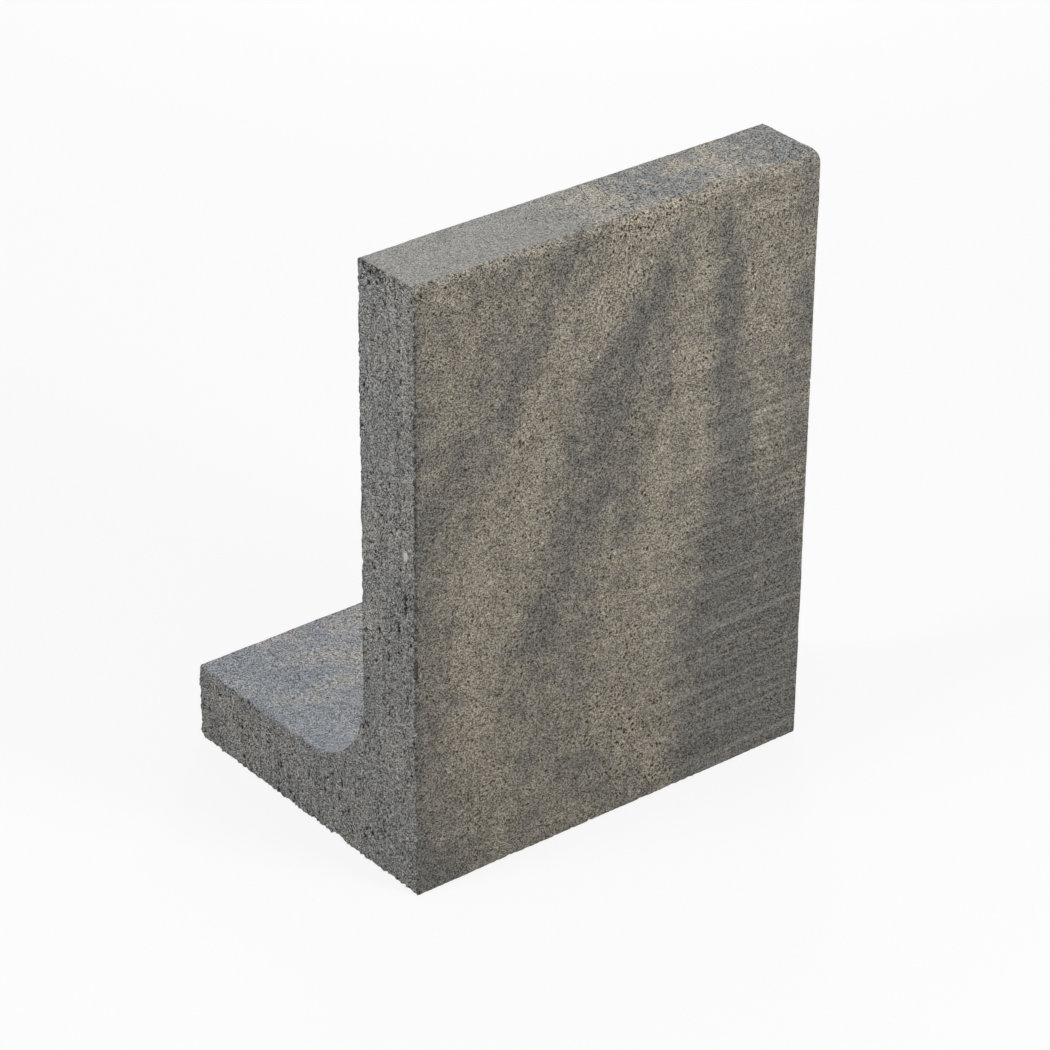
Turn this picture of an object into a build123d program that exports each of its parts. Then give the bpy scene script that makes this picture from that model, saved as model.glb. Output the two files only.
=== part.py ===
from build123d import *
import os

# A machine-pressed concrete L-block, one solid casting, standing on its foot.
# The origin is the centre of its footprint on the ground. X runs along the
# row of blocks, the plain front of the wall looks to -Y, the foot points to
# +Y, and Z is up.

# Driving sizes, in millimetres
block_height = 400.0
block_width = 300.0
block_depth = 225.0
wall_thickness = 52.0
foot_thickness = 52.0
throat_radius = 60.0
nose_radius = 8.0
mould_arris = 1.5
end_arris = 1.0

# Faces of the block, worked out from the sizes
front = -block_depth / 2
toe = block_depth / 2
wall_back = front + wall_thickness
left_end = -block_width / 2


def l_section():
    """The L outline seen from the end, each corner rounded as the mould leaves it."""
    corners = {
        (front, 0): mould_arris,
        (toe, 0): mould_arris,
        (toe, foot_thickness): mould_arris,
        (wall_back, foot_thickness): throat_radius,
        (wall_back, block_height): mould_arris,
        (front, block_height): nose_radius,
    }
    outline = FilletPolyline(*corners.keys(), radius=corners.values(), close=True)
    return Plane.YZ.offset(left_end) * make_face(outline.edges())


def rounded_block():
    """The section pressed to its full width, with the edges of both ends eased."""
    block = extrude(l_section(), amount=block_width)
    ends = block.faces().filter_by(Axis.X)
    return fillet(ends.edges(), end_arris)


os.makedirs("parts", exist_ok=True)
l_block = rounded_block()
export_step(l_block, "parts/l_block.step")
print("volume in litres:", round(l_block.volume / 1e6, 3))
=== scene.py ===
import math

import bmesh
import bpy
from mathutils import Matrix, Vector


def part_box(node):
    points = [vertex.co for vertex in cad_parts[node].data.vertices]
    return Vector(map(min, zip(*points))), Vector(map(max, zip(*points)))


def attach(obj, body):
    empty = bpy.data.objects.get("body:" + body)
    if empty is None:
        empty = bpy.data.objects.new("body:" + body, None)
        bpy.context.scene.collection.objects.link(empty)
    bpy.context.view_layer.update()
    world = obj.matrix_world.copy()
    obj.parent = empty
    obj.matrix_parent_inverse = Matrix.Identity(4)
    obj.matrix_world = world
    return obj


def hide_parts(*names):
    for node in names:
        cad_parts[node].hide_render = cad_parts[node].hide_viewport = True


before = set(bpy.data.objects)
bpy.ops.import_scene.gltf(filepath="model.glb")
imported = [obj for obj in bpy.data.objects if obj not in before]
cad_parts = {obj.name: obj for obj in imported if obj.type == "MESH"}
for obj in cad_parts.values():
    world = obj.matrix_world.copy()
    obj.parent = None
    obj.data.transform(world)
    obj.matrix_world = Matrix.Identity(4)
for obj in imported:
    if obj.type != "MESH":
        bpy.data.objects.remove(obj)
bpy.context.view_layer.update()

MM = 0.001

# Nearly all values of a noise lie in this span
NOISE_SPAN = (0.3, 0.7)

# Sizes of the block: its box comes from model.glb, the section as the source has it
LOW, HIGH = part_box("l_block")
WIDTH = HIGH.x - LOW.x
DEPTH = HIGH.y - LOW.y
HEIGHT = HIGH.z - LOW.z
THICKNESS = 52 * MM
THROAT = 60 * MM
FRONT = LOW.y
TOE = HIGH.y
WALL_BACK = FRONT + THICKNESS

# The nose, where front and top meet: crisp for most of its length, worn round at the right end
NOSE = 5 * MM
WORN_NOSE = 9 * MM
WORN_FROM = 90 * MM
WORN_FULLY = 148 * MM

# Mesh: how fine the rough skin is modelled, and the most triangles it may keep
SKIN_CELL = 0.8 * MM
TRIANGLE_LIMIT = 190000

# Light: the room's level and each lamp's place and level, where a level of 1 shows a colour as written
ROOM_LEVEL = 0.36
LAMP_SIZE = 0.6
LAMPS = {
    "lamp_before_front": ((0.45, -1.45, 0.98), 0.64),
    "lamp_over_left_end": ((-1.44, 0.09, 1.28), 0.52),
    "lamp_behind_right_end": ((1.24, 1.48, 0.72), 0.35),
}

# Camera, fitted to the corners of the block in the photograph, in millimetres and degrees
PHOTO_SIDE = 1050
FOCAL_PIXELS = 4180
AZIMUTH = -38.71
ELEVATION = 29.52
ROLL = 0.55
AIM_RIGHT = 64.8
AIM_UP = 220.5
DISTANCE = 2473


def add(tree, kind, inputs=(), **settings):
    """Add one node, set it up and feed its inputs with values, or with other nodes or their outputs."""
    node = tree.nodes.new(kind)
    for name, value in settings.items():
        setattr(node, name, value)
    pairs = inputs.items() if isinstance(inputs, dict) else enumerate(inputs)
    for key, source in pairs:
        if isinstance(source, bpy.types.Node):
            source = next(out for out in source.outputs if out.enabled)
        if isinstance(source, bpy.types.NodeSocket):
            tree.links.new(source, node.inputs[key])
        elif source is not None:
            node.inputs[key].default_value = source
    return node


def linear(hex_colour):
    """An sRGB hex colour as linear values with full alpha."""
    parts = [int(hex_colour[i:i + 2], 16) / 255 for i in (1, 3, 5)]
    return [p / 12.92 if p <= 0.04045 else ((p + 0.055) / 1.055) ** 2.4 for p in parts] + [1.0]


def blend(tree, share, one, other):
    """A colour between two, each given as a hex colour or a node's output."""
    one, other = (linear(c) if isinstance(c, str) else c for c in (one, other))
    return add(tree, "ShaderNodeMix", {"Factor": share, 6: one, 7: other}, data_type="RGBA").outputs[2]


def clamped_sum(tree, one, other):
    """The sum of two shares, kept from 0 to 1."""
    return add(tree, "ShaderNodeMath", (one, other), operation="ADD", use_clamp=True)


# The block's form

def choose(block, kind, test):
    """In edit mode, select only the edges or faces whose middle passes the test."""
    bpy.ops.mesh.select_mode(type=kind)
    bpy.ops.mesh.select_all(action="DESELECT")
    shape = bmesh.from_edit_mesh(block.data)
    for item in (shape.edges if kind == "EDGE" else shape.faces):
        middle = sum((corner.co for corner in item.verts), Vector()) / len(item.verts)
        item.select_set(test(middle))
    bmesh.update_edit_mesh(block.data)


def near(a, b):
    """True where two lengths agree to a hundredth of a millimetre."""
    return abs(a - b) < 0.01 * MM


def l_form():
    """The L: a foot slab, its wall drawn up, the throat hollowed and the nose rounded."""
    bpy.ops.object.select_all(action="DESELECT")
    bpy.ops.mesh.primitive_cube_add(size=1, location=(0, 0, THICKNESS / 2))
    block = bpy.context.object
    block.name = "pressed_l_block"
    block.data.name = block.name
    block.scale = (WIDTH, DEPTH, THICKNESS)
    bpy.ops.object.transform_apply(location=True, rotation=True, scale=True)
    bpy.ops.object.mode_set(mode="EDIT")
    bpy.ops.mesh.bisect(plane_co=(0, WALL_BACK, 0), plane_no=(0, 1, 0))
    choose(block, "FACE", lambda middle: near(middle.z, THICKNESS) and middle.y < WALL_BACK)
    rise = (0, 0, HEIGHT - THICKNESS)
    bpy.ops.mesh.extrude_region_move(TRANSFORM_OT_translate={"value": rise})
    bpy.ops.mesh.select_all(action="SELECT")
    bpy.ops.mesh.dissolve_limited(angle_limit=math.radians(1))
    choose(block, "EDGE", lambda middle: near(middle.y, WALL_BACK) and near(middle.z, THICKNESS))
    bpy.ops.mesh.bevel(offset=THROAT, segments=32, affect="EDGES")
    choose(block, "EDGE", lambda middle: near(middle.y, FRONT) and near(middle.z, HEIGHT))
    bpy.ops.mesh.bevel(offset=NOSE, segments=6, affect="EDGES")
    bpy.ops.object.mode_set(mode="OBJECT")
    return block


def finish_with(block, kind, **settings):
    """Give the block one modifier and apply it."""
    modifier = block.modifiers.new(kind.lower(), kind)
    for name, value in settings.items():
        setattr(modifier, name, value)
    bpy.context.view_layer.objects.active = block
    bpy.ops.object.modifier_apply(modifier=modifier.name)


# Places and patterns that the mesh and the material both read, so that shade is painted into a pit where it
# is deep

def from_throat(tree, place):
    """The way from a point to the throat's axis, across and up, where the point lies below and behind it."""
    axes = add(tree, "ShaderNodeSeparateXYZ", (place,)).outputs
    across = add(tree, "ShaderNodeMath", (WALL_BACK + THROAT, axes["Y"]), operation="SUBTRACT")
    upwards = add(tree, "ShaderNodeMath", (THICKNESS + THROAT, axes["Z"]), operation="SUBTRACT")
    across = add(tree, "ShaderNodeMath", (across, 0.0), operation="MAXIMUM")
    upwards = add(tree, "ShaderNodeMath", (upwards, 0.0), operation="MAXIMUM")
    return add(tree, "ShaderNodeCombineXYZ", (0.0, across, upwards))


def face_depths(tree, place):
    """How deep a point lies under each face of the block."""
    axes = add(tree, "ShaderNodeSeparateXYZ", (place,)).outputs
    sideways = add(tree, "ShaderNodeMath", (axes["X"],), operation="ABSOLUTE")
    reach = add(tree, "ShaderNodeVectorMath", (from_throat(tree, place),), operation="LENGTH")
    return {
        "end": add(tree, "ShaderNodeMath", (WIDTH / 2, sideways), operation="SUBTRACT"),
        "front": add(tree, "ShaderNodeMath", (axes["Y"], FRONT), operation="SUBTRACT"),
        "base": axes["Z"],
        "toe": add(tree, "ShaderNodeMath", (TOE, axes["Y"]), operation="SUBTRACT"),
        "top": add(tree, "ShaderNodeMath", (HEIGHT, axes["Z"]), operation="SUBTRACT"),
        "inner": add(tree, "ShaderNodeMath", (reach.outputs["Value"], THROAT), operation="SUBTRACT"),
    }


def open_texture(tree, place):
    """How deep the open texture of an end goes: stones, hollows, pits and striations, drawn out upwards."""
    along = add(tree, "ShaderNodeVectorMath", (place, (0.1, 1.0, 0.6)), operation="MULTIPLY")
    stones = add(tree, "ShaderNodeTexNoise", {
        "Vector": along, "Scale": 1 / (2.8 * MM), "Detail": 4.0, "Roughness": 0.7})
    hollows = add(tree, "ShaderNodeMapRange", (stones, 0.40, 0.68, 0.05 * MM, 1.2 * MM))
    rag = [3.0 * MM] * 3
    drift = stones.outputs["Color"]
    ragged = add(tree, "ShaderNodeVectorMath", (drift, rag, along), operation="MULTIPLY_ADD")
    cells = add(tree, "ShaderNodeTexVoronoi", {"Vector": ragged, "Scale": 1 / (3.0 * MM)})
    rim = add(tree, "ShaderNodeMapRange", (cells.outputs["Distance"], 0.42, 0.14, 0.0, 1.0),
              interpolation_type="SMOOTHSTEP")
    pick = add(tree, "ShaderNodeMapRange", (cells.outputs["Color"], 0.42, 0.75, 0.0, 1.5 * MM))
    pits = add(tree, "ShaderNodeMath", (rim, pick), operation="MULTIPLY")
    drawn = add(tree, "ShaderNodeVectorMath", (place, (0.1, 1.0, 0.07)), operation="MULTIPLY")
    lines = add(tree, "ShaderNodeTexNoise", {
        "Vector": drawn, "Scale": 1 / (3.0 * MM), "Detail": 2.0, "Roughness": 0.6})
    striations = add(tree, "ShaderNodeMapRange", (lines, 0.35, 0.65, 0.0, 0.5 * MM))
    depth = add(tree, "ShaderNodeMath", (hollows, pits), operation="ADD")
    depth = add(tree, "ShaderNodeMath", (depth, striations), operation="ADD")

    # Below the top the concrete was pressed least, and is more open
    axes = add(tree, "ShaderNodeSeparateXYZ", (place,)).outputs
    looser = add(tree, "ShaderNodeMapRange", (axes["Z"], HEIGHT - 12 * MM, HEIGHT - 2 * MM, 1.0, 1.5))
    return add(tree, "ShaderNodeMath", (depth, looser), operation="MULTIPLY")


# Single spots strewn over the faces: how far apart they lie, the largest one's radius, and the share left out
POCKS = (11 * MM, 1.6 * MM, 0.45)
POCK_DEPTH = 1.1 * MM
PALE_STONES = (8 * MM, 1.4 * MM, 0.50)


def spots(tree, place, spacing, largest, left_out):
    """Round spots of uneven size, 1 at the middle of each and 0 between them."""
    cells = add(tree, "ShaderNodeTexVoronoi", {"Vector": place, "Scale": 1 / spacing})
    radius = add(tree, "ShaderNodeMapRange", (cells.outputs["Color"], left_out, 0.9, 0.0, largest / spacing))
    inside = add(tree, "ShaderNodeMath", (radius, cells.outputs["Distance"]), operation="SUBTRACT")
    soft = 0.9 * MM / spacing
    return add(tree, "ShaderNodeMapRange", (inside, 0.0, soft, 0.0, 1.0), interpolation_type="SMOOTHSTEP")


# Single marks that stand out on the left end: the middle and the half size of each, in millimetres
TORN_PITS = [((-150, -102, 195), (8, 1.8, 10)), ((-150, -104, 132), (8, 1.5, 6)),
             ((-150, -96, 178), (8, 1.4, 5)), ((-150, -99, 338), (8, 1.8, 3))]
TORN_DEPTH = 2.0 * MM
PALE_CHIPS = [((-150, -103, 228), (8, 2.6, 4.5))]


def marks(tree, place, singles):
    """A few single marks with ragged borders, 1 at the middle of each and 0 beyond them."""
    rag = add(tree, "ShaderNodeTexNoise", {
        "Vector": place, "Scale": 1 / (2.5 * MM), "Detail": 3.0, "Roughness": 0.6})
    ragged = add(tree, "ShaderNodeMapRange", (rag, *NOISE_SPAN, -0.35, 0.35))
    total = None
    for middle, half in singles:
        away = add(tree, "ShaderNodeVectorMath", (place, [v * MM for v in middle]), operation="SUBTRACT")
        away = add(tree, "ShaderNodeVectorMath", (away, [v * MM for v in half]), operation="DIVIDE")
        reach = add(tree, "ShaderNodeVectorMath", (away,), operation="LENGTH").outputs["Value"]
        reach = add(tree, "ShaderNodeMath", (reach, ragged), operation="ADD")
        mark = add(tree, "ShaderNodeMapRange", (reach, 1.0, 0.3, 0.0, 1.0))
        total = add(tree, "ShaderNodeMath", (total, mark), operation="MAXIMUM") if total else mark
    return total


# Wear, as a geometry tree

# Each arris, and how wide its crumbled edge is on average, in millimetres
ARRISES = {
    ("end", "front"): 0.5,
    ("end", "base"): 1.3,
    ("end", "toe"): 1.0,
    ("end", "top"): 0.5,
    ("end", "inner"): 0.5,
    ("front", "base"): 0.7,
    ("base", "toe"): 1.5,
    ("toe", "inner"): 0.7,
    ("inner", "top"): 0.6,
}
RIGHT_END_SHARE = 0.3


def inward_ways(tree, place):
    """The way inwards from each face."""
    axes = add(tree, "ShaderNodeSeparateXYZ", (place,)).outputs
    side = add(tree, "ShaderNodeMath", (axes["X"],), operation="SIGN")
    to_middle = add(tree, "ShaderNodeMath", (side, -1.0), operation="MULTIPLY")
    return {
        "end": add(tree, "ShaderNodeCombineXYZ", (to_middle, 0.0, 0.0)),
        "front": (0.0, 1.0, 0.0),
        "base": (0.0, 0.0, 1.0),
        "toe": (0.0, -1.0, 0.0),
        "top": (0.0, 0.0, -1.0),
        "inner": add(tree, "ShaderNodeVectorMath", (from_throat(tree, place),), operation="NORMALIZE"),
    }


def end_share(tree, place):
    """1 at the open left end, and less at the right end, which was pressed against a plate."""
    axes = add(tree, "ShaderNodeSeparateXYZ", (place,)).outputs
    return add(tree, "ShaderNodeMapRange", (axes["X"], -100 * MM, 100 * MM, 1.0, RIGHT_END_SHARE))


def crumble(tree, place, depths, ways):
    """Moves that wear each arris back by a chamfer of uneven width."""
    grit = add(tree, "ShaderNodeTexNoise", {
        "Vector": place, "Scale": 1 / (3.2 * MM), "Detail": 3.0, "Roughness": 0.7})
    fine = add(tree, "ShaderNodeMapRange", (grit, 0.36, 0.68, 0.3, 2.4))
    lumps = add(tree, "ShaderNodeTexNoise", {
        "Vector": place, "Scale": 1 / (13 * MM), "Detail": 2.0, "Roughness": 0.6})
    chips = add(tree, "ShaderNodeMapRange", (lumps, 0.60, 0.74, 0.0, 3.0))
    wear = add(tree, "ShaderNodeMath", (fine, chips), operation="ADD")
    end_wear = add(tree, "ShaderNodeMath", (wear, end_share(tree, place)), operation="MULTIPLY")
    total = None
    for (one, other), size in ARRISES.items():
        amount = end_wear if one == "end" else wear
        width = add(tree, "ShaderNodeMath", (amount, size * MM), operation="MULTIPLY")
        inside = add(tree, "ShaderNodeMath", (depths[one], depths[other]), operation="ADD")
        short = add(tree, "ShaderNodeMath", (width, inside), operation="SUBTRACT")
        lack = add(tree, "ShaderNodeMath", (short, 0.0), operation="MAXIMUM")
        step = add(tree, "ShaderNodeMath", (lack, 0.5), operation="MULTIPLY")
        inwards = add(tree, "ShaderNodeVectorMath", (ways[one], ways[other]), operation="ADD")
        move = add(tree, "ShaderNodeVectorMath", {0: inwards, "Scale": step}, operation="SCALE")
        total = add(tree, "ShaderNodeVectorMath", (total, move), operation="ADD") if total else move
    return total


def past_nose(tree, place, depths):
    """How far a point lies outside the worn nose, and the way from it to the nose's axis."""
    axes = add(tree, "ShaderNodeSeparateXYZ", (place,)).outputs
    radius = add(tree, "ShaderNodeMapRange", (axes["X"], WORN_FROM, WORN_FULLY, NOSE, WORN_NOSE),
                 interpolation_type="SMOOTHSTEP")
    across = add(tree, "ShaderNodeMath", (radius, depths["front"]), operation="SUBTRACT")
    across = add(tree, "ShaderNodeMath", (across, 0.0), operation="MAXIMUM")
    upwards = add(tree, "ShaderNodeMath", (radius, depths["top"]), operation="SUBTRACT")
    upwards = add(tree, "ShaderNodeMath", (upwards, 0.0), operation="MAXIMUM")
    down = add(tree, "ShaderNodeMath", (upwards, -1.0), operation="MULTIPLY")
    to_axis = add(tree, "ShaderNodeCombineXYZ", (0.0, across, down))
    reach = add(tree, "ShaderNodeVectorMath", (to_axis,), operation="LENGTH").outputs["Value"]
    return add(tree, "ShaderNodeMath", (reach, radius), operation="SUBTRACT"), to_axis


def worn_nose(tree, place, depths):
    """The move that rounds the nose further, from its crisp left to its worn right end."""
    past, to_axis = past_nose(tree, place, depths)
    over = add(tree, "ShaderNodeMath", (past, 0.0), operation="MAXIMUM")
    way = add(tree, "ShaderNodeVectorMath", (to_axis,), operation="NORMALIZE")
    return add(tree, "ShaderNodeVectorMath", {0: way, "Scale": over}, operation="SCALE")


def open_end(tree, place, depths, ways):
    """The move that sinks the ends into their open texture."""
    swell = add(tree, "ShaderNodeTexNoise", {
        "Vector": place, "Scale": 1 / (28 * MM), "Detail": 2.0, "Roughness": 0.5})
    drift = add(tree, "ShaderNodeMapRange", (swell, *NOISE_SPAN, 0.0, 0.7 * MM))
    depth = add(tree, "ShaderNodeMath", (open_texture(tree, place), drift), operation="ADD")
    torn = add(tree, "ShaderNodeMath", (marks(tree, place, TORN_PITS), TORN_DEPTH), operation="MULTIPLY")
    depth = add(tree, "ShaderNodeMath", (depth, torn), operation="ADD")
    near_end = add(tree, "ShaderNodeMapRange", (depths["end"], 6 * MM, 0.0, 0.0, 1.0))
    depth = add(tree, "ShaderNodeMath", (depth, near_end), operation="MULTIPLY")
    depth = add(tree, "ShaderNodeMath", (depth, end_share(tree, place)), operation="MULTIPLY")
    return add(tree, "ShaderNodeVectorMath", {0: ways["end"], "Scale": depth}, operation="SCALE")


def uneven_face(tree, place):
    """The move that lets the pressed faces sway in long shallow waves, and sinks their pocks."""
    sway = add(tree, "ShaderNodeTexNoise", {
        "Vector": place, "Scale": 1 / (35 * MM), "Detail": 1.0, "Roughness": 0.5})
    sunk = add(tree, "ShaderNodeMapRange", (sway, *NOISE_SPAN, -0.02 * MM, -0.35 * MM))
    pit = add(tree, "ShaderNodeMath", (spots(tree, place, *POCKS), -POCK_DEPTH), operation="MULTIPLY")
    sunk = add(tree, "ShaderNodeMath", (sunk, pit), operation="ADD")
    normal = add(tree, "GeometryNodeInputNormal")
    return add(tree, "ShaderNodeVectorMath", {0: normal, "Scale": sunk}, operation="SCALE")


def weathering():
    """The geometry tree that crumbles the arrises and opens the texture of the skin."""
    tree = bpy.data.node_groups.new("pressed_skin", "GeometryNodeTree")
    tree.interface.new_socket("Geometry", in_out="INPUT", socket_type="NodeSocketGeometry")
    tree.interface.new_socket("Geometry", in_out="OUTPUT", socket_type="NodeSocketGeometry")
    skin = add(tree, "NodeGroupInput").outputs["Geometry"]
    place = add(tree, "GeometryNodeInputPosition")
    depths = face_depths(tree, place)
    ways = inward_ways(tree, place)
    moves = [
        crumble(tree, place, depths, ways),
        worn_nose(tree, place, depths),
        open_end(tree, place, depths, ways),
        uneven_face(tree, place),
    ]
    total = moves[0]
    for move in moves[1:]:
        total = add(tree, "ShaderNodeVectorMath", (total, move), operation="ADD")
    moved = add(tree, "GeometryNodeSetPosition", {"Geometry": skin, "Offset": total})
    add(tree, "NodeGroupOutput", {"Geometry": moved})
    return tree


def pressed_block():
    """The block with its real skin: remeshed fine, worn, and thinned where it is flat."""
    block = l_form()
    finish_with(block, "REMESH", mode="VOXEL", voxel_size=SKIN_CELL)
    finish_with(block, "NODES", node_group=weathering())
    triangles = 2 * len(block.data.polygons)
    finish_with(block, "DECIMATE", ratio=min(1.0, TRIANGLE_LIMIT / triangles))
    bpy.ops.object.shade_smooth_by_angle(angle=math.radians(50))
    return block


# Pressed concrete

# Flows of more or less brown pigment down the front: how much browner each is, how far its border frays in
# millimetres, and its height, middle and half width at a few places, in millimetres from the ground and
# from the left end
BROWN_BASE = 0.44
FLOWS = {
    "broad_brown": (0.40, 14, [
        (400, 175, 24), (350, 136, 28), (300, 98, 22), (250, 76, 24), (200, 62, 28),
        (150, 50, 22), (100, 45, 16), (50, 58, 10), (0, 70, -10)]),
    "lower_brown": (0.34, 13, [
        (400, 205, 6), (300, 204, 14), (240, 196, 20), (200, 184, 24), (140, 165, 28), (100, 158, 32),
        (70, 155, 30), (30, 180, 14), (0, 195, -10)]),
    "right_brown": (0.22, 9, [
        (400, 262, 24), (300, 262, 15), (230, 262, 7), (190, 263, -2), (140, 263, 3), (110, 263, 0),
        (60, 262, -20)]),
    "main_grey": (-0.32, 12, [
        (400, 190, -25), (375, 187, 3), (352, 182, 11), (330, 162, 22), (305, 148, 26), (270, 134, 23),
        (240, 130, 23), (210, 118, 18), (180, 106, 16), (150, 92, 11), (110, 84, 0), (60, 80, -14),
        (0, 70, -25)]),
    "narrow_grey": (-0.56, 6, [
        (400, 226, -14), (380, 227, -2), (360, 229, 5), (300, 233, 8), (240, 237, 10), (200, 241, 16),
        (170, 247, 30), (130, 252, 42), (90, 254, 50), (0, 258, 56)]),
    "edge_grey": (-0.24, 9, [
        (400, 300, -20), (340, 298, -4), (300, 293, 6), (240, 290, 12), (0, 290, 12)]),
    "upper_grey": (-0.34, 12, [
        (400, 115, 6), (380, 110, 7), (355, 92, 6), (330, 86, 11), (300, 54, 8),
        (270, 28, 11), (250, 12, 9), (230, 0, 3), (150, 0, -5), (60, 0, -2), (20, 12, 14), (0, 20, 20)]),
    "left_brown": (0.20, 8, [
        (400, 30, 16), (340, 30, 16), (305, 24, 6), (280, 18, -8), (255, 26, -8), (235, 26, 6),
        (150, 30, 6), (120, 30, -12), (0, 30, -25)]),
    "left_edge_grey": (-0.30, 6, [
        (400, 0, 3), (300, 0, 6), (250, 0, 11), (0, 0, 13)]),
}
FLOW_EDGE = 11 * MM
HALF_WIDTHS = (-30 * MM, 70 * MM)


def curve_of(tree, share, points):
    """A float curve through a few points, each from 0 to 1."""
    node = add(tree, "ShaderNodeFloatCurve", {"Value": share})
    curve = node.mapping.curves[0]
    for _ in points[2:]:
        curve.points.new(0.5, 0.5)
    for knot, (x, y) in zip(curve.points, sorted(points)):
        knot.location = (x, y)
    node.mapping.update()
    return node


def front_pigment(tree, place):
    """How brown the front is, from 0 to 1: its flows, swaying, with frayed borders."""
    warp = add(tree, "ShaderNodeTexNoise", {
        "Vector": place, "Scale": 1 / (40 * MM), "Detail": 3.0, "Roughness": 0.55})
    sway = add(tree, "ShaderNodeMapRange", (warp, *NOISE_SPAN, -4 * MM, 4 * MM))
    fray = add(tree, "ShaderNodeTexNoise", {
        "Vector": place, "Scale": 1 / (14 * MM), "Detail": 5.0, "Roughness": 0.75})
    axes = add(tree, "ShaderNodeSeparateXYZ", (place,)).outputs
    across = add(tree, "ShaderNodeMath", (axes["X"], sway), operation="ADD")
    up = add(tree, "ShaderNodeMath", (axes["Z"], HEIGHT), operation="DIVIDE")
    total = BROWN_BASE
    for strength, reach, flow in FLOWS.values():
        frayed = add(tree, "ShaderNodeMapRange", (fray, *NOISE_SPAN, -reach * MM, reach * MM))
        least, most = HALF_WIDTHS
        middles = [(z * MM / HEIGHT, x * MM / WIDTH) for z, x, _ in flow]
        halves = [(z * MM / HEIGHT, (half * MM - least) / (most - least)) for z, _, half in flow]
        middle = add(tree, "ShaderNodeMapRange", (curve_of(tree, up, middles), 0.0, 1.0, LOW.x, HIGH.x))
        half = add(tree, "ShaderNodeMapRange", (curve_of(tree, up, halves), 0.0, 1.0, least, most))
        away = add(tree, "ShaderNodeMath", (across, middle), operation="SUBTRACT")
        away = add(tree, "ShaderNodeMath", (away,), operation="ABSOLUTE")
        past = add(tree, "ShaderNodeMath", (away, half), operation="SUBTRACT")
        past = add(tree, "ShaderNodeMath", (past, frayed), operation="ADD")
        amount = add(tree, "ShaderNodeMapRange", (past, FLOW_EDGE, -FLOW_EDGE, 0.0, strength),
                     interpolation_type="SMOOTHSTEP")
        total = add(tree, "ShaderNodeMath", (total, amount), operation="ADD")
    return total


# How brown the top is along its length, from the left end to the right, each from 0 to 1
TOP_BROWN = [(0.0, 0.28), (0.40, 0.30), (0.48, 0.65), (0.56, 0.45), (0.63, 0.05), (0.70, 0.15),
             (0.78, 0.65), (0.86, 0.60), (0.92, 0.05), (1.0, 0.10)]


def top_pigment(tree, place):
    """How brown the top is: even at the left, mottled at the right."""
    axes = add(tree, "ShaderNodeSeparateXYZ", (place,)).outputs
    along = add(tree, "ShaderNodeMapRange", (axes["X"], LOW.x, HIGH.x, 0.0, 1.0))
    specks = add(tree, "ShaderNodeTexNoise", {
        "Vector": place, "Scale": 1 / (12 * MM), "Detail": 5.0, "Roughness": 0.7})
    mottled = add(tree, "ShaderNodeMapRange", (specks, *NOISE_SPAN, -1.0, 1.0))
    share = add(tree, "ShaderNodeMapRange", (axes["X"], -40 * MM, 10 * MM, 0.2, 1.0))
    mottled = add(tree, "ShaderNodeMath", (mottled, share), operation="MULTIPLY")
    return clamped_sum(tree, curve_of(tree, along, TOP_BROWN), mottled)


def face_masks(tree, place, depths, rim):
    """Masks of the ends and of the front, whose look reaches up to the far side of the nose."""
    beyond_rim = add(tree, "ShaderNodeMapRange", (rim, 0.4 * MM, 1.0 * MM, 0.0, 1.0))
    on_end = add(tree, "ShaderNodeMapRange", (depths["end"], 5.0 * MM, 4.5 * MM, 0.0, 1.0))
    on_end = add(tree, "ShaderNodeMath", (on_end, beyond_rim), operation="MULTIPLY")
    wave = add(tree, "ShaderNodeTexNoise", {
        "Vector": place, "Scale": 1 / (5 * MM), "Detail": 3.0, "Roughness": 0.6})
    border = add(tree, "ShaderNodeMapRange", (wave, *NOISE_SPAN, NOSE - 2.0 * MM, NOSE + 0.4 * MM))
    past = add(tree, "ShaderNodeMath", (depths["front"], border), operation="SUBTRACT")
    on_front = add(tree, "ShaderNodeMapRange", (past, 0.4 * MM, -0.4 * MM, 0.0, 1.0))
    return on_end, on_front


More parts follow.
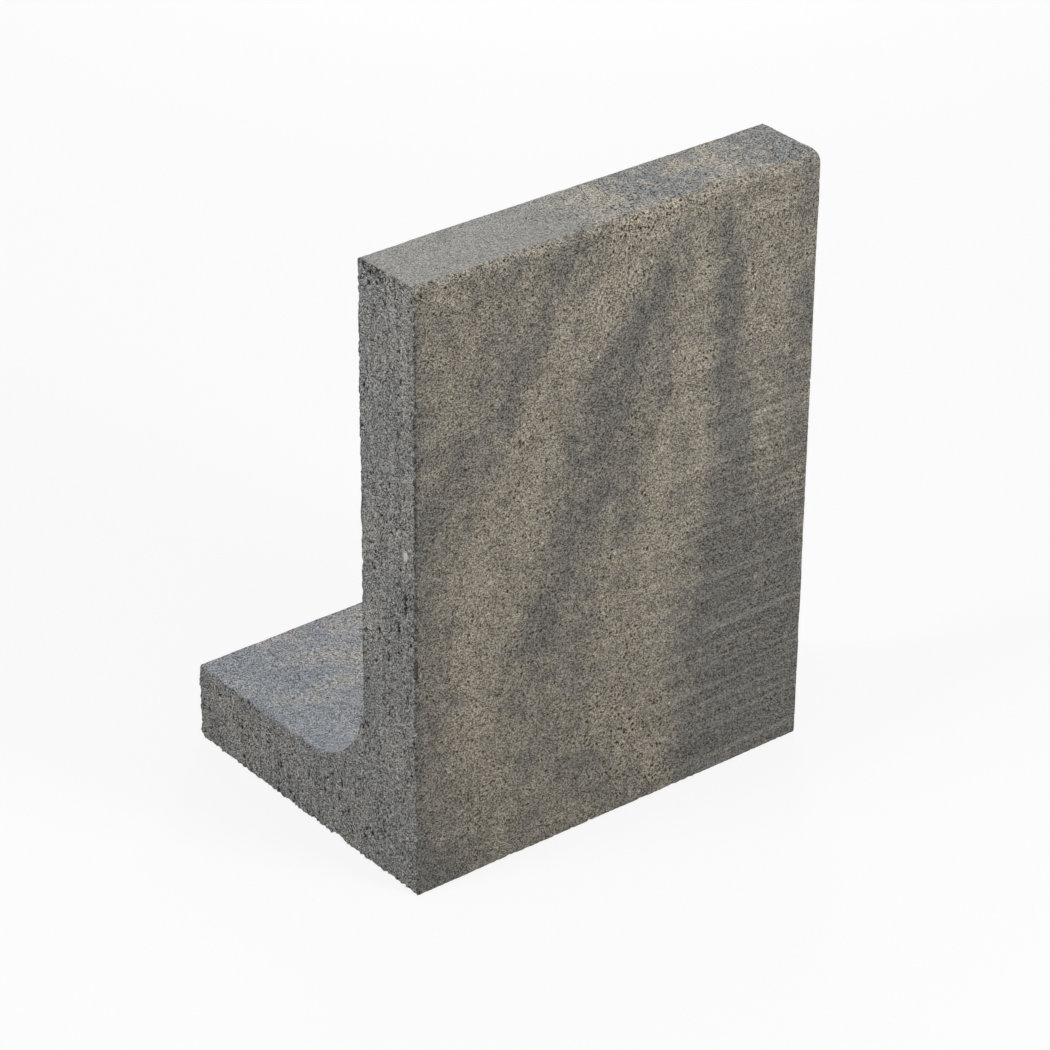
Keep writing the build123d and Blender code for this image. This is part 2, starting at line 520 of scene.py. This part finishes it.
def sand(tree, place, crowd):
    """Sand grains: the tone of each, the shade painted into pores and pocks, and the relief in millimetres.
    """
    grains = add(tree, "ShaderNodeTexVoronoi", {"Vector": place, "Scale": 1 / (0.50 * MM)})
    chance = add(tree, "ShaderNodeSeparateColor", (grains.outputs["Color"],)).outputs
    shade = add(tree, "ShaderNodeMapRange", (chance["Red"], 0.2, 0.8, 0.20, 2.16))
    dust = add(tree, "ShaderNodeTexNoise", {
        "Vector": place, "Scale": 1 / (2.6 * MM), "Detail": 3.0, "Roughness": 0.7})
    grime = add(tree, "ShaderNodeMapRange", (dust, *NOISE_SPAN, 0.88, 1.12))
    tone = add(tree, "ShaderNodeMath", (shade, grime), operation="MULTIPLY")

    # A pore is a ragged gap between grains; the more crowded with them, the larger they are
    rag = [2.0 * MM] * 3
    ragged = add(tree, "ShaderNodeVectorMath", (dust.outputs["Color"], rag, place), operation="MULTIPLY_ADD")
    gaps = add(tree, "ShaderNodeTexVoronoi", {"Vector": ragged, "Scale": 1 / (2.8 * MM)})
    pick = add(tree, "ShaderNodeSeparateColor", (gaps.outputs["Color"],)).outputs
    likely = add(tree, "ShaderNodeMath", (pick["Red"], crowd), operation="ADD")
    radius = add(tree, "ShaderNodeMapRange", (likely, 0.74, 1.24, 0.0, 0.36))
    inside = add(tree, "ShaderNodeMath", (radius, gaps.outputs["Distance"]), operation="SUBTRACT")
    pore = add(tree, "ShaderNodeMapRange", (inside, 0.0, 0.05, 0.0, 1.0))
    # Painted shade: pores and pocks are darkened, as shade falls into them
    hole = add(tree, "ShaderNodeMath", (pore, spots(tree, place, *POCKS)), operation="MAXIMUM")
    dark = add(tree, "ShaderNodeMapRange", (hole, 0.0, 1.0, 1.0, 0.18))
    pale = add(tree, "ShaderNodeMapRange", (spots(tree, place, *PALE_STONES), 0.0, 1.0, 0.0, 0.9))
    tone = add(tree, "ShaderNodeMath", (tone, pale), operation="ADD")

    rounding = add(tree, "ShaderNodeMath", (grains.outputs["Distance"], 0.8), operation="MULTIPLY")
    relief = add(tree, "ShaderNodeMath", (dust, rounding), operation="SUBTRACT")
    relief = add(tree, "ShaderNodeMath", (relief, pore), operation="SUBTRACT")
    return tone, dark, relief


def drag_lines(tree, place, on_front):
    """Pale level lines that the mould's plate dragged along the right half of the front."""
    axes = add(tree, "ShaderNodeSeparateXYZ", (place,)).outputs
    drawn = add(tree, "ShaderNodeVectorMath", (place, (0.02, 0.1, 1.0)), operation="MULTIPLY")
    lines = add(tree, "ShaderNodeTexNoise", {
        "Vector": drawn, "Scale": 1 / (3.6 * MM), "Detail": 2.0, "Roughness": 0.6})
    pale = add(tree, "ShaderNodeMapRange", (lines, 0.48, 0.66, -0.06, 0.42))
    at_right = add(tree, "ShaderNodeMapRange", (axes["X"], 15 * MM, 80 * MM, 0.0, 1.0))
    low_down = add(tree, "ShaderNodeMapRange", (axes["Z"], 340 * MM, 190 * MM, 0.35, 1.0))
    share = add(tree, "ShaderNodeMath", (at_right, low_down), operation="MULTIPLY")
    share = add(tree, "ShaderNodeMath", (share, on_front), operation="MULTIPLY")
    return add(tree, "ShaderNodeMath", (pale, share), operation="MULTIPLY")


def arris_pit_shade(tree, place, depths, rim):
    """Painted shade in a dark broken line of pits along the arrises of the left end, 1 where it is darkest.
    """
    axes = add(tree, "ShaderNodeSeparateXYZ", (place,)).outputs
    corner = add(tree, "ShaderNodeMath", (depths["end"], rim), operation="ADD")
    close = add(tree, "ShaderNodeMapRange", (corner, 3.4 * MM, 2.0 * MM, 0.0, 1.0))
    gaps = add(tree, "ShaderNodeTexNoise", {
        "Vector": place, "Scale": 1 / (3.0 * MM), "Detail": 2.0, "Roughness": 0.6})
    broken = add(tree, "ShaderNodeMapRange", (gaps, 0.42, 0.54, 0.0, 1.0))
    at_left = add(tree, "ShaderNodeMapRange", (axes["X"], 0.0, -100 * MM, 0.0, 1.0))
    high_up = add(tree, "ShaderNodeMapRange", (axes["Z"], 60 * MM, 160 * MM, 0.35, 1.0))
    pits = add(tree, "ShaderNodeMath", (close, broken), operation="MULTIPLY")
    pits = add(tree, "ShaderNodeMath", (pits, high_up), operation="MULTIPLY")
    return add(tree, "ShaderNodeMath", (pits, at_left), operation="MULTIPLY")


# The colours of each side, where it is least and most brown, and the colour of the darkest grains
FRONT_COLOURS = ("#7a7771", "#a69d8d")
TOP_COLOURS = ("#8a8b8a", "#aaa498")
# Partly painted light: the foot is made paler to make up for the lamp light that the wall keeps off it
FOOT_COLOURS = ("#9ba0a7", "#b7b4af")
END_COLOURS = ("#979795", "#a3a19b")
DARKEST = linear("#2a2724")[:3]

# How strongly grains and pores show on each side, and how far the grains' own tone is greyed
FRONT_CONTRAST = 1.0
FOOT_CONTRAST = 0.9
END_CONTRAST = 1.2
GREYED = 0.4

# Clusters of open pores in the front: the middle and the half size of each, in millimetres
PORE_CLUSTERS = [((0, -112, 390), (62, 60, 34)), ((2, -112, 262), (22, 60, 48)),
                 ((-60, -112, 160), (34, 60, 40)), ((0, -112, 62), (66, 60, 66)),
                 ((-108, -112, 52), (26, 60, 30))]


def pressed_concrete():
    """Dry-cast concrete, pressed in a steel mould: matt, sandy, brown pigment half mixed into grey."""
    material = bpy.data.materials.new("pressed_concrete_brown_grey")
    material.use_nodes = True
    tree = material.node_tree
    tree.nodes.clear()
    place = add(tree, "ShaderNodeTexCoord").outputs["Object"]
    axes = add(tree, "ShaderNodeSeparateXYZ", (place,)).outputs
    depths = face_depths(tree, place)
    rim = depths["front"]
    for face in ("base", "toe", "top", "inner"):
        rim = add(tree, "ShaderNodeMath", (rim, depths[face]), operation="MINIMUM")
    outside, _ = past_nose(tree, place, depths)
    within = add(tree, "ShaderNodeMath", (outside, -1.0), operation="MULTIPLY")
    rim = add(tree, "ShaderNodeMath", (rim, within), operation="MINIMUM")
    on_end, on_front = face_masks(tree, place, depths, rim)
    below_top = add(tree, "ShaderNodeMapRange", (depths["top"], 1.5 * MM, 3.0 * MM, 0.0, 1.0))

    # Pigment: drawn flows on the front, bands on the top, loose mottling elsewhere
    cloud = add(tree, "ShaderNodeTexNoise", {
        "Vector": place, "Scale": 1 / (45 * MM), "Detail": 4.0, "Roughness": 0.65, "Distortion": 0.5})
    mottle = add(tree, "ShaderNodeMapRange", (cloud, 0.36, 0.66, 0.0, 0.9))
    patchy = add(tree, "ShaderNodeTexNoise", {
        "Vector": place, "Scale": 1 / (19 * MM), "Detail": 5.0, "Roughness": 0.74})
    patches = add(tree, "ShaderNodeMapRange", (patchy, *NOISE_SPAN, -0.55, 0.55))
    near_wall = add(tree, "ShaderNodeMapRange", (axes["X"], -120 * MM, -50 * MM, -0.3, 0.25))
    front_brown = clamped_sum(tree, front_pigment(tree, place), patches)
    other_brown = clamped_sum(tree, mottle, patches)
    foot_brown = clamped_sum(tree, other_brown, near_wall)
    front_colour = blend(tree, front_brown, *FRONT_COLOURS)
    top_colour = blend(tree, top_pigment(tree, place), *TOP_COLOURS)
    # The foot's own grey, partly painted light where the wall keeps the front lamp off it
    foot_colour = blend(tree, foot_brown, *FOOT_COLOURS)
    end_colour = blend(tree, other_brown, *END_COLOURS)
    colour = blend(tree, below_top, top_colour, foot_colour)
    colour = blend(tree, on_front, colour, front_colour)
    colour = blend(tree, on_end, colour, end_colour)

    # Sand and pores, calm on the left of the top and strong elsewhere
    crowd = add(tree, "ShaderNodeMapRange", (patchy, 0.40, 0.66, -0.22, 0.44))
    in_brown = add(tree, "ShaderNodeMapRange", (front_brown, 0.2, 0.8, -0.12, 0.16))
    crowd = add(tree, "ShaderNodeMath", (crowd, in_brown), operation="ADD")
    clustered = add(tree, "ShaderNodeMapRange", (marks(tree, place, PORE_CLUSTERS), 0.0, 0.7, 0.0, 0.34))
    crowd = add(tree, "ShaderNodeMath", (crowd, clustered), operation="ADD")
    tone, dark, relief = sand(tree, place, crowd)
    top_contrast = add(tree, "ShaderNodeMapRange", (axes["X"], -50 * MM, 10 * MM, 0.55, 1.0))
    contrast = top_contrast
    for mask, level in ((below_top, FOOT_CONTRAST), (on_front, FRONT_CONTRAST), (on_end, END_CONTRAST)):
        contrast = add(tree, "ShaderNodeMix", {"Factor": mask, 2: contrast, 3: level}, data_type="FLOAT")
    paler = add(tree, "ShaderNodeMath", (tone, 1.0), operation="SUBTRACT")
    paler = add(tree, "ShaderNodeMath", (paler, contrast), operation="MULTIPLY")
    paler = add(tree, "ShaderNodeMath", (paler, drag_lines(tree, place, on_front)), operation="ADD")
    # Painted shade of the pores and pocks, as strong as the grains show
    shade = add(tree, "ShaderNodeMath", (dark, 1.0), operation="SUBTRACT")
    shade = add(tree, "ShaderNodeMath", (shade, contrast, 1.0), operation="MULTIPLY_ADD")

    # Ends: painted shade where the open texture is deep and in the torn pits, and along the arrises of the
    # left end
    openness = end_share(tree, place)
    sunk = add(tree, "ShaderNodeMath", (open_texture(tree, place), openness), operation="MULTIPLY")
    # Painted shade in the hollows and pits of the ends, darker the deeper they are sunk
    end_shade = add(tree, "ShaderNodeMapRange", (sunk, 1.05 * MM, 1.95 * MM, 1.13, 0.10))
    drawn = add(tree, "ShaderNodeVectorMath", (place, (0.1, 1.0, 0.06)), operation="MULTIPLY")
    streaks = add(tree, "ShaderNodeTexNoise", {
        "Vector": drawn, "Scale": 1 / (4 * MM), "Detail": 3.0, "Roughness": 0.65})
    streaked = add(tree, "ShaderNodeMapRange", (streaks, *NOISE_SPAN, 0.84, 1.18))
    end_shade = add(tree, "ShaderNodeMath", (end_shade, streaked), operation="MULTIPLY")
    # Painted shade in the torn pits, which the mesh sinks as well
    torn = add(tree, "ShaderNodeMapRange", (marks(tree, place, TORN_PITS), 0.0, 0.5, 1.0, 0.16))
    end_shade = add(tree, "ShaderNodeMath", (end_shade, torn), operation="MULTIPLY")
    end_shade = add(tree, "ShaderNodeMix", {"Factor": on_end, 2: 1.0, 3: end_shade}, data_type="FLOAT")
    shade = add(tree, "ShaderNodeMath", (shade, end_shade), operation="MULTIPLY")
    # Painted shade along the crumbled arrises of the left end
    painted_arris_shade = add(tree, "ShaderNodeMapRange", (arris_pit_shade(tree, place, depths, rim), 0.0, 1.0, 1.0, 0.35))
    shade = add(tree, "ShaderNodeMath", (shade, painted_arris_shade), operation="MULTIPLY")
    chip = add(tree, "ShaderNodeMapRange", (marks(tree, place, PALE_CHIPS), 0.0, 1.0, 0.0, 1.5))
    chip = add(tree, "ShaderNodeMath", (chip, on_end), operation="MULTIPLY")
    paler = add(tree, "ShaderNodeMath", (paler, chip), operation="ADD")

    # The pigment coats dark and pale grains alike, so they differ more in grey than in brown
    greyed = blend(tree, GREYED, colour, add(tree, "ShaderNodeRGBToBW", (colour,)))
    grained = add(tree, "ShaderNodeVectorMath", (greyed, paler, colour), operation="MULTIPLY_ADD")
    grained = add(tree, "ShaderNodeVectorMath", (grained, DARKEST), operation="MAXIMUM")
    grained = add(tree, "ShaderNodeVectorMath", {0: grained, "Scale": shade}, operation="SCALE")

    bump = add(tree, "ShaderNodeBump", {"Strength": contrast, "Distance": 1.0 * MM, "Height": relief})
    skin = add(tree, "ShaderNodeBsdfPrincipled", {
        "Base Color": grained, "Normal": bump, "Roughness": 0.93, "IOR": 1.5, "Specular IOR Level": 0.25})
    add(tree, "ShaderNodeOutputMaterial", {"Surface": skin})
    return material


# Floor, light and camera

# The floor's colour as the block's light meets it and as the camera sees it, and how white the latter glows
FLOOR_COLOURS = ("#7c7c7c", "#dedede")
FLOOR_GLOW = 0.86


def pale_floor():
    """A white floor that the camera sees as plain white, with the block's soft shadow on it."""
    bpy.ops.object.select_all(action="DESELECT")
    bpy.ops.mesh.primitive_circle_add(vertices=64, radius=8, fill_type="NGON", location=(0, 0, 0))
    floor = bpy.context.object
    floor.name = "floor"
    material = bpy.data.materials.new("white_studio_floor")
    material.use_nodes = True
    tree = material.node_tree
    tree.nodes.clear()
    seen = add(tree, "ShaderNodeLightPath").outputs["Is Camera Ray"]
    share = add(tree, "ShaderNodeMath", (seen, FLOOR_GLOW), operation="MULTIPLY")
    pale = blend(tree, seen, *FLOOR_COLOURS)
    lit = add(tree, "ShaderNodeBsdfDiffuse", {"Color": pale})
    white = add(tree, "ShaderNodeEmission", {"Color": linear("#ffffff"), "Strength": 1.0})
    mixed = add(tree, "ShaderNodeMixShader", (share, lit, white))
    add(tree, "ShaderNodeOutputMaterial", {"Surface": mixed})
    floor.data.materials.append(material)


def soft_light():
    """An even white room with three wide lamps: before the front, over the left end, behind the right."""
    world = bpy.data.worlds.new("white_room")
    bpy.context.scene.world = world
    world.use_nodes = True
    tree = world.node_tree
    tree.nodes.clear()
    seen = add(tree, "ShaderNodeLightPath").outputs["Is Camera Ray"]
    strength = add(tree, "ShaderNodeMapRange", (seen, 0.0, 1.0, ROOM_LEVEL, 1.0))
    room = add(tree, "ShaderNodeBackground", {"Color": linear("#ffffff"), "Strength": strength})
    add(tree, "ShaderNodeOutputWorld", {"Surface": room})
    aim = Vector((0, 0, HEIGHT / 2))
    for name, (spot, level) in LAMPS.items():
        away = Vector(spot) - aim
        bpy.ops.object.light_add(type="AREA", location=spot)
        lamp = bpy.context.object
        lamp.name = name
        lamp.data.shape = "DISK"
        lamp.data.size = LAMP_SIZE
        lamp.data.energy = level * math.pi ** 2 * away.length_squared
        lamp.rotation_euler = (-away).to_track_quat("-Z", "Y").to_euler()


def photo_camera():
    """The camera at the photograph's viewing angle."""
    azimuth, elevation, roll = (math.radians(a) for a in (AZIMUTH, ELEVATION, ROLL))
    back = Vector((math.sin(azimuth) * math.cos(elevation),
                   -math.cos(azimuth) * math.cos(elevation), math.sin(elevation)))
    level = Vector((0, 0, 1)).cross(back).normalized()
    upright = back.cross(level)
    right = level * math.cos(roll) + upright * math.sin(roll)
    up = upright * math.cos(roll) - level * math.sin(roll)
    data = bpy.data.cameras.new("camera")
    data.sensor_width = 36
    data.lens = FOCAL_PIXELS / PHOTO_SIDE * data.sensor_width
    data.dof.use_dof = False
    camera = bpy.data.objects.new("camera", data)
    bpy.context.collection.objects.link(camera)
    near_corner = Vector((LOW.x, FRONT, 0))
    spot = near_corner + (right * AIM_RIGHT + up * AIM_UP + back * DISTANCE) * MM
    camera.matrix_world = Matrix.Translation(spot) @ Matrix((right, up, back)).transposed().to_4x4()
    bpy.context.scene.camera = camera


bpy.context.scene.view_settings.view_transform = "Standard"
block = pressed_block()
block.data.materials.clear()
block.data.materials.append(pressed_concrete())
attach(block, "root")
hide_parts("l_block")
pale_floor()
soft_light()
photo_camera()
